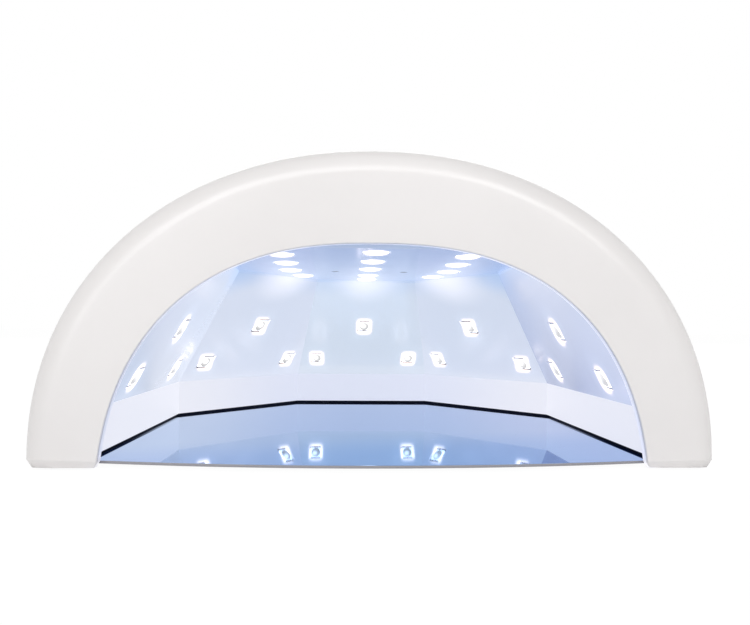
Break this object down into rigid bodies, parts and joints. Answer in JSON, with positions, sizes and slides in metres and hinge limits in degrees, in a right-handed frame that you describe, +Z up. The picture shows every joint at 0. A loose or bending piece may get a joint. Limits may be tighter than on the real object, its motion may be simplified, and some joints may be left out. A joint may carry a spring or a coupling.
{
  "type": "uv curing lamp",
  "caption": "Half-dome UV LED curing lamp with an arched hand opening, a faceted mirror cavity with LEDs, top timer buttons and a lift-off mirror base plate.",
  "frame": {"origin": "on the standing surface, under the middle of the lamp's box", "axes": "+Z up, -Y out of the hand opening, +X to the right of one who faces the opening"},
  "size_m": [0.22, 0.2032, 0.1024],
  "materials": {
    "shell_white": "white high-gloss moulding",
    "panel_grey": "silver-grey gloss inlay",
    "button_white": "white satin caps",
    "black_plastic": "matt black",
    "board_green": "green solder mask",
    "board_white": "white solder mask on aluminium core",
    "plated_steel": "bright zinc plate",
    "mirror_film": "mirror sheet with a blue cast",
    "led_package": "white LED package, lit",
    "cover_black": "fine-grained black",
    "rubber_black": "matt black rubber",
    "plate_mirror": "polished stainless steel"
  },
  "bodies": {
    "base_tray": {"base_plate": "plate_mirror", "plate_pads": "rubber_black"},
    "lamp": {"top_shell": "shell_white", "control_panel": "panel_grey", "tact_switches": "black_plastic", "control_board": "board_green", "control_board_screws": "plated_steel", "reflector_band": "mirror_film", "reflector_right": "mirror_film", "reflector_right_back": "mirror_film", "reflector_back": "mirror_film", "reflector_left_back": "mirror_film", "reflector_left": "mirror_film", "reflector_ceiling": "mirror_film", "board_right": "board_white", "board_right_back": "board_white", "board_back": "board_white", "board_left_back": "board_white", "board_left": "board_white", "board_ceiling": "board_white", "leds_right": "led_package", "leds_right_back": "led_package", "leds_back": "led_package", "leds_left_back": "led_package", "leds_left": "led_package", "leds_ceiling": "led_package", "hand_sensor": "black_plastic", "power_inlet": "black_plastic", "inlet_nut": "plated_steel", "bottom_cover": "cover_black", "cover_screws": "plated_steel", "magnets": "plated_steel", "rubber_feet": "rubber_black"},
    "button_short": {"timer_button_short": "button_white"},
    "button_medium": {"timer_button_medium": "button_white"},
    "button_long": {"timer_button_long": "button_white"}
  },
  "joints": [
    {"name": "lamp_lift", "type": "slide", "parent": "base_tray", "child": "lamp", "axis": [0, 0, 1], "range_m": [0, 0.05]},
    {"name": "button_short_press", "type": "slide", "parent": "lamp", "child": "button_short", "axis": [0, 0, -1], "range_m": [0, 0.0008], "stiffness_N_per_m": 1500, "springref_m": -0.0006},
    {"name": "button_medium_press", "type": "slide", "parent": "lamp", "child": "button_medium", "axis": [0, 0, -1], "range_m": [0, 0.0008], "stiffness_N_per_m": 1500, "springref_m": -0.0006},
    {"name": "button_long_press", "type": "slide", "parent": "lamp", "child": "button_long", "axis": [0, 0, -1], "range_m": [0, 0.0008], "stiffness_N_per_m": 1500, "springref_m": -0.0006}
  ]
}
